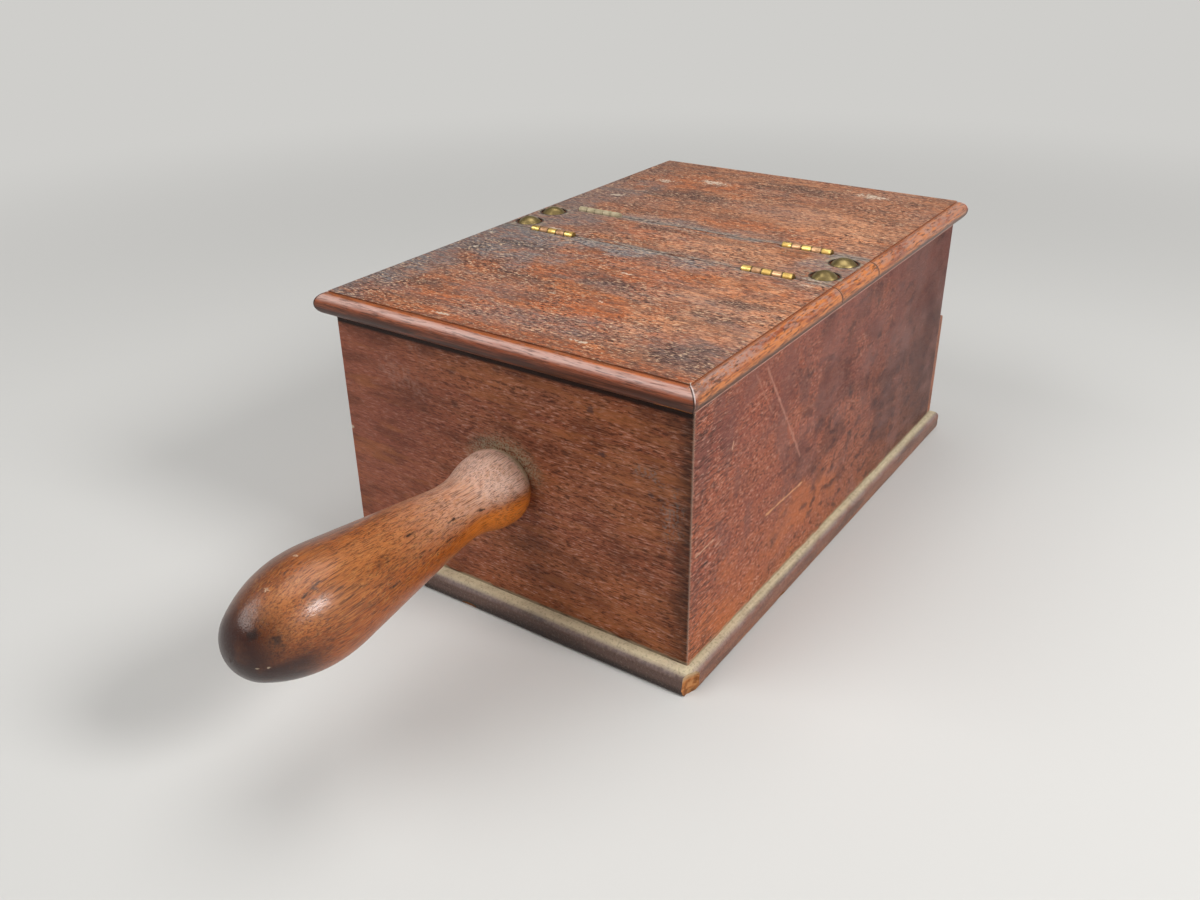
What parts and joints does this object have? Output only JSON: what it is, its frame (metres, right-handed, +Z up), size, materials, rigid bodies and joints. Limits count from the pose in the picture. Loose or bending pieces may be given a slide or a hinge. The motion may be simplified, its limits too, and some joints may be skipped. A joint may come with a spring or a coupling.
{
  "type": "ballot box",
  "caption": "Hand-held wooden ballot box with a turned handle, a moulded base, lids hinged on a centre strip, a partition with a ballot hole, and a drawer.",
  "frame": {"origin": "on the base board's underside, below the middle of the walls", "axes": "+Z up, +Y from the handle end to the drawer end, +X to the right as seen from the handle"},
  "size_m": [0.1884, 0.4313, 0.138],
  "materials": {
    "mahogany_walls": "old polish, satin, with scratches and worn edges",
    "mahogany_base": "old polish, dusty on the ledge, dark and chipped at the edge",
    "mahogany_lid": "old polish, dusty, worn at the rounded edge",
    "mahogany_handle": "glossy from handling",
    "inner_wood": "bare, dull",
    "hinge_brass": "rubbed bright, dull in the hollows",
    "stud_brass": "dull, with dust round it",
    "screw_steel": "dull, darkened"
  },
  "bodies": {
    "carcase": {"front_board": "mahogany_walls", "back_board": "mahogany_walls", "left_side_board": "mahogany_walls", "right_side_board": "mahogany_walls", "base_board": "mahogany_base", "centre_strip": "mahogany_lid", "handle": "mahogany_handle", "handle_wedge": "mahogany_handle", "partition_board": "inner_wood", "shelf_board": "inner_wood", "left_drawer_guide": "inner_wood", "right_drawer_guide": "inner_wood", "near_left_hinge_strip_leaf": "hinge_brass", "near_left_hinge_pin": "hinge_brass", "near_right_hinge_strip_leaf": "hinge_brass", "near_right_hinge_pin": "hinge_brass", "far_left_hinge_strip_leaf": "hinge_brass", "far_left_hinge_pin": "hinge_brass", "far_right_hinge_strip_leaf": "hinge_brass", "far_right_hinge_pin": "hinge_brass", "strip_hinge_screws": "hinge_brass", "strip_studs": "stud_brass", "base_screws": "screw_steel"},
    "near_lid_leaf": {"near_lid": "mahogany_lid", "near_left_hinge_lid_leaf": "hinge_brass", "near_right_hinge_lid_leaf": "hinge_brass", "near_lid_hinge_screws": "hinge_brass"},
    "far_lid_leaf": {"far_lid": "mahogany_lid", "far_left_hinge_lid_leaf": "hinge_brass", "far_right_hinge_lid_leaf": "hinge_brass", "far_lid_hinge_screws": "hinge_brass"},
    "drawer": {"drawer_front": "mahogany_walls", "drawer_left_side": "inner_wood", "drawer_right_side": "inner_wood", "drawer_back": "inner_wood", "drawer_bottom": "inner_wood", "drawer_knob": "hinge_brass"}
  },
  "joints": [
    {"name": "near_lid_hinge", "type": "hinge", "parent": "carcase", "child": "near_lid_leaf", "pos_m": [0, -0.0203, 0.1355], "axis": [-1, 0, 0], "range_deg": [0, 97]},
    {"name": "far_lid_hinge", "type": "hinge", "parent": "carcase", "child": "far_lid_leaf", "pos_m": [0, 0.0203, 0.1355], "axis": [1, 0, 0], "range_deg": [0, 97]},
    {"name": "drawer_slide", "type": "slide", "parent": "carcase", "child": "drawer", "axis": [0, 1, 0], "range_m": [0, 0.11]}
  ]
}
